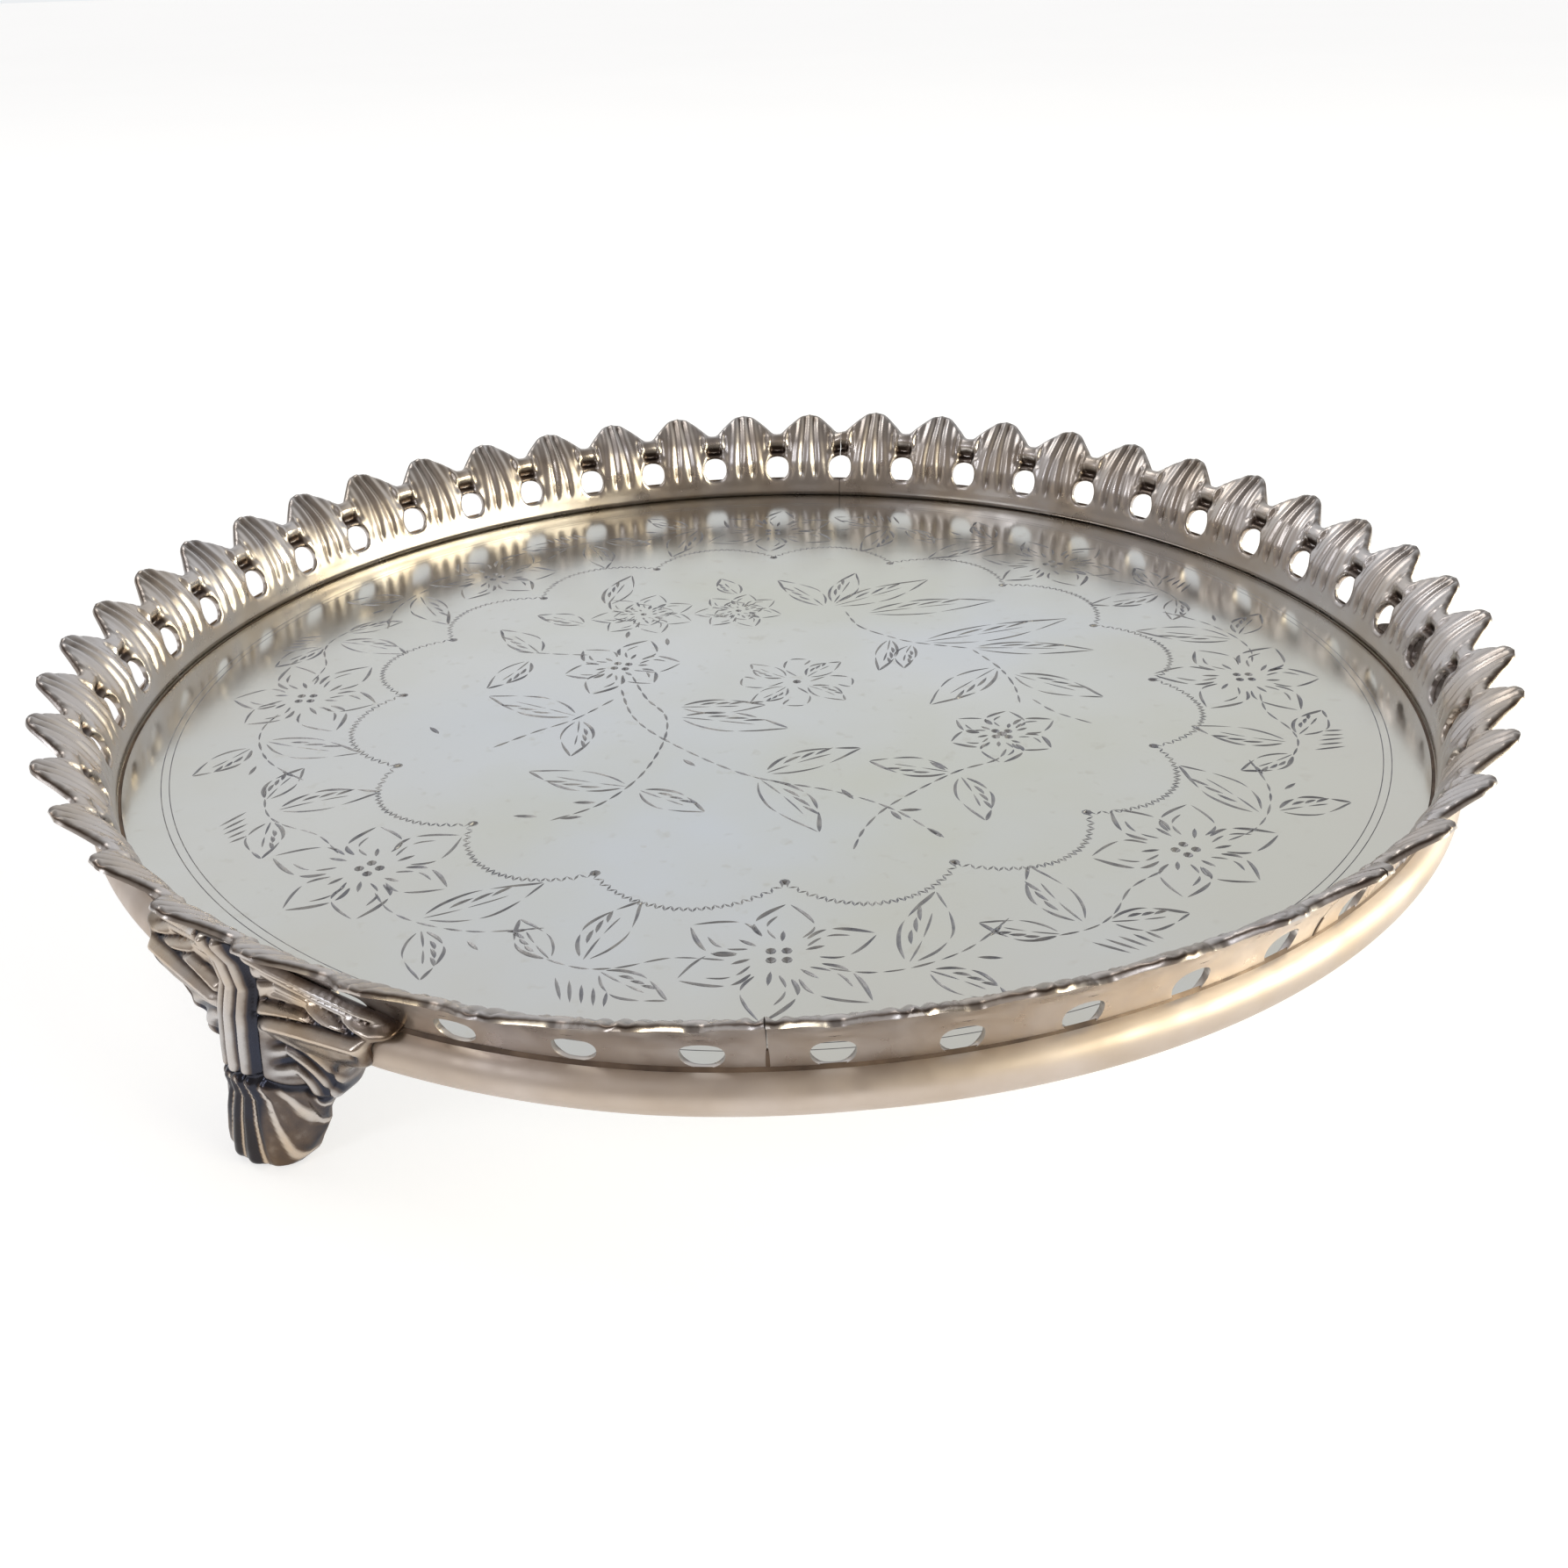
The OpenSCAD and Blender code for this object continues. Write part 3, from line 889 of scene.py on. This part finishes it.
def foot_surface(t, z, gap):
    """Outer radius, back radius and relief of the casting at t across, z above the plate."""
    t = abs(t)
    if z > WING_LOW:
        over_apron = math.sqrt(max(0.0, (APRON_R + 2.0) ** 2 - (z - APRON_Z) ** 2))
        proud = along(z, [(5, 2.0), (12, 1.8), (19, 0.7)])
        wing = max(APRON_X + over_apron, wall_outside(z, proud))
        back = wall_outside(z, 0.03)
        if z < 4.6:
            back = APRON_X + math.sqrt((APRON_R + 0.03) ** 2 - (z - APRON_Z) ** 2)
    else:
        wing = along(z, [(-18, 143.4), (-9, 144.8), (WING_LOW, 145.7)])
        back = along(z, LEG_BACK)
    body = wing
    # round front of the leg
    if t < 9.9:
        body = max(wing, along(z, LEG_FACE) - (10 - math.sqrt(100 - t * t)))
    h = 0.0
    # fluted stem down the middle
    if z > -14:
        stem = 1 - smooth(-z, 9, 13)
        h += stem * 1.1 * math.sqrt(max(0.0, 1 - (t / 3.7) ** 2))
        h -= stem * (1.2 * bell(t - 1.3, 0.55) + 1.1 * bell(t - 4.1, 0.6))
    # long pointed leaf on the gallery wall, with ribs along its upper edge
    divide = 4.3 - 5.0 * math.exp(-t / 9)
    if t > STEM_HALF and z > divide:
        top = along(t, UPPER_EDGE)
        rib = max(2.3, (top - divide) / 3.6)
        fade = smooth(t, STEM_HALF, 6) * (1 - smooth(t, 24, 29))
        h += fade * (1.2 * abs(math.sin(math.pi * (top - z + 0.3) / rib)) ** 0.8 - 0.55)
    # rolled upper edge of the lower wing, under a dark parting line
    if t > 4:
        h -= 0.65 * bell(z - divide, 0.5) * (1 - smooth(t, 24, 28))
        h += 0.9 * bell(z - divide + 1.9, 0.9) * smooth(t, 4, 7) * (1 - smooth(t, 25, 28))
    # folds that spring from beside the stem, rise and fall outwards
    if z < divide - 3 and t > 3:
        fold = math.hypot(0.8 * (t - 6.0), z + 13.5)
        ring = (smooth(fold, 2.6, 4) * (1 - smooth(fold, 10.5, 13.5)) * smooth(t, 5, 8.5)
                * smooth(z, -15.2, -13))
        h += ring * (0.6 * math.cos(2 * math.pi * (fold - 4.4) / 3.7) - 0.15)
        h -= 0.5 * bell(gap - 2.0, 0.6) * smooth(t, 12, 15)
    tint = h - 0.45 * (1 - smooth(t, 3.5, 5))
    # shell: round lobes fan out to the pad, with thin bright fillets between them
    shell = -10.5 - 4.8 * smooth(t, 2, 13)
    if z < shell + 0.6:
        lobe = abs(math.sin(math.pi * math.degrees(math.atan2(t, -(z - 2))) / 8.0))
        deep = smooth(shell - z, -0.4, 1.6)
        fillet = bell(lobe, 0.32)
        h += deep * (1.4 * lobe ** 0.6 + 0.6 * fillet - 0.8)
        tint += deep * (1.4 * fillet + 0.3 * lobe - 0.45)
    h -= 0.8 * bell(z - shell - 0.4, 0.6)
    tint -= 1.0 * bell(z - shell - 0.4, 0.7)
    rounding = 1 - math.sqrt(1 - (1 - min(gap / 1.8, 1.0)) ** 2)
    outer = max(body + h - 1.7 * rounding, back + 0.25)
    return outer, back, tint - 0.3 * rounding


def build_foot(name, node, azimuth):
    """The casting as a front and a back sheet, and its tongue under the plate."""
    half = spline(BACK_EDGE if node == "foot_back" else FOOT_EDGE, 3)
    outline = resample(half + [(-t, z) for t, z in reversed(half[1:-1])], 0.5)
    places, triangles = fill_outline(outline, 0.36, 0.36)
    ring = outline + outline[:1]
    free = [p for p in ring if p[1] > PAD + 0.1]
    front, back, relief = [], [], []
    turn = math.radians(azimuth)
    for t, z in places:
        gap = distance_to((t, z), free)
        z = max(z, PAD)
        outer, inner, h = foot_surface(t, z, gap)
        # the casting is hollow behind the leg
        if z < -5 and abs(t) < 6:
            inner += 3.2 * (1 - (t / 6) ** 2) * smooth(z, -27, -23) * (1 - smooth(z, -9, -5))
        a = turn + t / CAST_ARC
        up = settled(z, math.degrees(a))
        for sheet, r in ((front, min(outer, TIP_R - 0.1)), (back, inner)):
            sheet.append((r * math.cos(a), r * math.sin(a), PLATE_TOP + up))
        relief.append(h)
    points, faces = close_sheets(front, back, triangles)
    relief += [-0.1] * len(back)
    # tongue under the plate that carries the solder
    tongue = [(140.5, -9), (140.5, 9), (133, 9), (130, 7.2), (128.6, 4), (128.2, 0),
              (128.6, -4), (130, -7.2), (133, -9)]
    start = len(points)
    for h, reach in ((-5.4, TIP_R), (PLATE_BOTTOM - PLATE_TOP, SEAT_R - 1.35)):
        for r, t in tongue:
            r = min(r, reach)
            points.append((r * math.cos(turn) - t * math.sin(turn),
                           r * math.sin(turn) + t * math.cos(turn), PLATE_TOP + h))
            relief.append(0.2)
    n = len(tongue)
    faces.append(tuple(start + i for i in reversed(range(n))))
    faces.append(tuple(start + n + i for i in range(n)))
    faces += [(start + i, start + (i + 1) % n, start + n + (i + 1) % n, start + n + i)
              for i in range(n)]
    make_piece(name, points, faces, [CAST_METAL], node,
               relief=relief, sharp=70)


# ---- solder lines -----------------------------------------------------------------------

def build_solder(name, leaf):
    """A dark drop of solder on the outside, where two gallery strips meet."""
    angle = math.radians(LEAF_ZERO + leaf * PITCH)
    points, faces = [], []
    rows = 6
    for k in range(rows + 1):
        bend = (5.4 + 4.6 * k / rows) / FLARE_R     # from 5.4 to 10 mm up the wall's curve
        wide = 1 - 0.5 * (k / rows) ** 2
        for proud, across in ((-0.3, -0.42 * wide), (0.12, -0.3 * wide), (0.12, 0.3 * wide),
                              (-0.3, 0.42 * wide)):
            r = FLARE_X - (FLARE_R - WALL - proud) * math.cos(bend)
            z = settled((FLARE_R - WALL - proud) * math.sin(bend), math.degrees(angle))
            points.append((r * math.cos(angle) - across * math.sin(angle),
                           r * math.sin(angle) + across * math.cos(angle), PLATE_TOP + z))
    for k in range(rows):
        for i in range(4):
            j = (i + 1) % 4
            faces.append((4 * k + i, 4 * k + j, 4 * k + 4 + j, 4 * k + 4 + i))
    faces.append((0, 1, 2, 3))
    faces.append(tuple(4 * rows + i for i in (3, 2, 1, 0)))
    make_piece(name, points, faces, [SEAM_METAL], None, sharp=40)


# ---- studio -----------------------------------------------------------------------------

def build_floor():
    """A round floor in metres, well past everything the camera sees."""
    around = 64
    points = [(0, 0, 0)]
    for r in (0.6, 2.5, 9.0):
        points += [(x, y, 0) for x, y in circle(r, around)]
    faces = []
    for k in range(around):
        following = (k + 1) % around
        faces.append((0, 1 + k, 1 + following))
        for band in range(2):
            a = 1 + band * around
            faces.append((a + k, a + around + k, a + around + following, a + following))
    mesh = bpy.data.meshes.new("studio_floor")
    mesh.from_pydata(points, [], faces)
    mesh.materials.append(floor_paint())
    floor = bpy.data.objects.new("studio_floor", mesh)
    bpy.context.scene.collection.objects.link(floor)


def build_world():
    """Soft room: bright towards +Y and overhead, brown and dim behind the camera."""
    world = bpy.data.worlds.new("studio")
    world.use_nodes = True
    bpy.context.scene.world = world
    tree = world.node_tree
    coordinates = tree.nodes.new("ShaderNodeTexCoord")
    split = tree.nodes.new("ShaderNodeSeparateXYZ")
    tree.links.new(coordinates.outputs["Generated"], split.inputs["Vector"])
    level = tree.nodes.new("ShaderNodeMapRange")
    level.inputs["From Min"].default_value = -1.0
    level.inputs["From Max"].default_value = 1.0
    tree.links.new(split.outputs["Y"], level.inputs["Value"])
    sky = ramp(tree, level.outputs["Result"], [
        (0.0, (0.30, 0.26, 0.23)), (0.25, (0.36, 0.32, 0.29)), (0.5, (0.50, 0.47, 0.45)),
        (0.68, (0.80, 0.82, 0.83)), (1.0, (0.86, 0.88, 0.90))])
    overhead = ramp(tree, split.outputs["Z"], [(0.0, grey(1)), (0.62, grey(1)), (0.84, grey(0.62)),
                                               (1.0, grey(0.5))])
    sky = mix(tree, 1.0, sky, overhead, "MULTIPLY")
    tree.links.new(sky, tree.nodes["Background"].inputs["Color"])
    tree.nodes["Background"].inputs["Strength"].default_value = 1.0


LIGHT_TARGET = Vector((0, 0, 0.03))     # metres, about the height of the plate


def area_light(name, place, size, power, color):
    """A rectangular light, in metres and watts, aimed at the salver."""
    data = bpy.data.lights.new(name, "AREA")
    data.shape = "RECTANGLE"
    data.size, data.size_y = size
    data.energy = power
    data.color = color
    light = bpy.data.objects.new(name, data)
    light.location = place
    aim = LIGHT_TARGET - Vector(place)
    light.rotation_euler = aim.to_track_quat("-Z", "Y").to_euler()
    bpy.context.scene.collection.objects.link(light)


def build_camera():
    """Looks 28 degrees down from in front, level but for a small roll."""
    pitch, roll = math.radians(28.3), math.radians(-1.32)
    back = Vector((0, -math.cos(pitch), math.sin(pitch)))
    right = Vector((1, 0, 0))
    up = back.cross(right)
    x_axis = math.cos(roll) * right + math.sin(roll) * up
    y_axis = -math.sin(roll) * right + math.cos(roll) * up
    data = bpy.data.cameras.new("camera")
    data.sensor_width = 36
    data.lens = 35.8
    data.clip_start = 0.01
    camera = bpy.data.objects.new("camera", data)
    place = Vector((1.5, -322.0, PLATE_TOP + 148.5)) * MM
    axes = Matrix((x_axis, y_axis, back)).transposed().to_4x4()
    camera.matrix_world = Matrix.Translation(place) @ axes
    bpy.context.scene.collection.objects.link(camera)
    bpy.context.scene.camera = camera


build_camera()
build_plate()
build_apron()
unit = half_leaf()
build_gallery("gallery_left", "gallery_strip_left", 10.5, 35, unit)
build_gallery("gallery_right", "gallery_strip_right", -7, 10.5, unit)
build_gallery("gallery_front", "gallery_strip_front", -12, -7, unit)
for node, azimuth in FOOT_AZIMUTHS.items():
    build_foot("cast_" + node, node, azimuth)
build_solder("solder_front_left", -12)
build_solder("solder_front_right", -7)
build_floor()
build_world()
area_light("key", (-0.9, 0.5, 1.5), (0.7, 0.7), 5, (1.0, 0.98, 0.95))
area_light("warm_side", (1.25, -0.4, 0.42), (1.4, 0.5), 20, (1.0, 0.94, 0.72))
area_light("window", (-1.0, -0.9, 0.9), (0.3, 0.6), 3, (0.88, 0.93, 1.0))
bpy.context.scene.view_settings.view_transform = "Standard"
